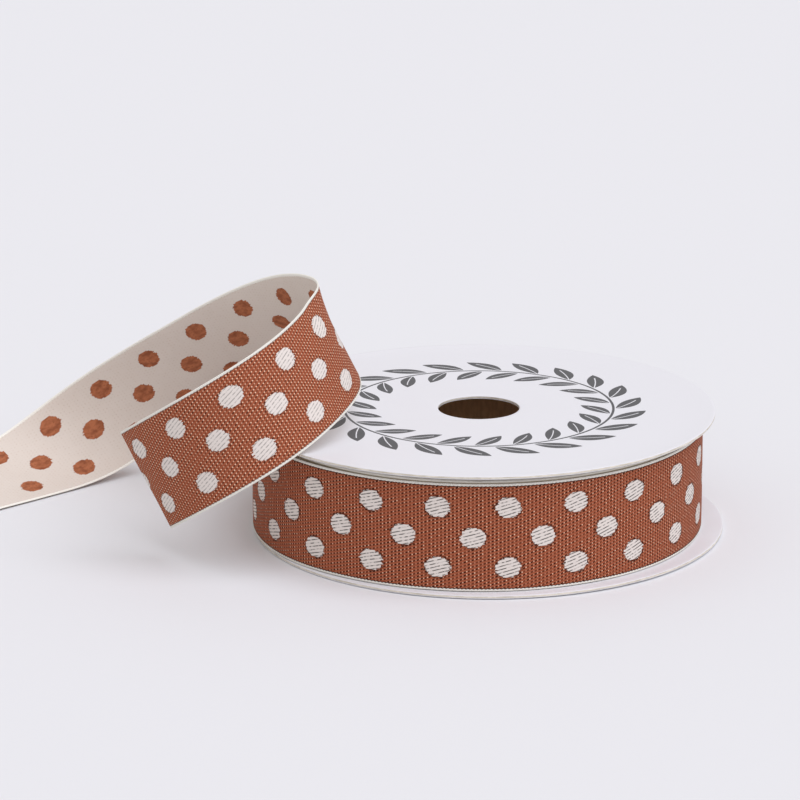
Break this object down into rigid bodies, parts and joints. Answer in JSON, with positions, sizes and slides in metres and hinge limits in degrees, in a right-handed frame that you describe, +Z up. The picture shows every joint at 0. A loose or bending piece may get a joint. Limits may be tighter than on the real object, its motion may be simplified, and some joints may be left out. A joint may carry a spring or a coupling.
{
  "type": "ribbon roll",
  "caption": "Flat spool of woven polka-dot ribbon between two cardboard discs, with a loose strip of the same ribbon laid over its rim in an open curl.",
  "frame": {"origin": "on the axis of the spindle hole, at the underside of the bottom disc, which is the face that the roll stands on", "axes": "+Z up, out of the spindle hole through the top disc; +X away from the loose strip, along the longest extent; the strip's cut end hangs on the -Y side"},
  "size_m": [0.1941, 0.1086, 0.0591],
  "materials": {
    "facing_paper": "smooth coated white paper",
    "board": "cut pulp board, cream to grey",
    "lining_paper": "matt white paper",
    "kraft": "brown spiral-wound kraft tube",
    "glue": "dried white glue, slightly yellow",
    "tape": "clear film tape",
    "ribbon": "woven jacquard, rust ground with ivory dots and ivory selvedges, colours reversed on the back"
  },
  "bodies": {
    "roll": {"bottom_facing": "facing_paper", "bottom_board": "board", "bottom_lining": "lining_paper", "top_lining": "lining_paper", "top_board": "board", "top_facing": "facing_paper", "core_tube": "kraft", "bottom_glue": "glue", "top_glue": "glue", "start_tape": "tape", "wound_ribbon": "ribbon", "outer_turn": "ribbon", "end_tape": "tape"},
    "loose_length": {"loose_length": "ribbon"}
  },
  "joints": [
    {"name": "loose_lift", "type": "slide", "parent": "roll", "child": "loose_length", "axis": [0, 0, 1], "range_m": [0, 0.05]}
  ]
}
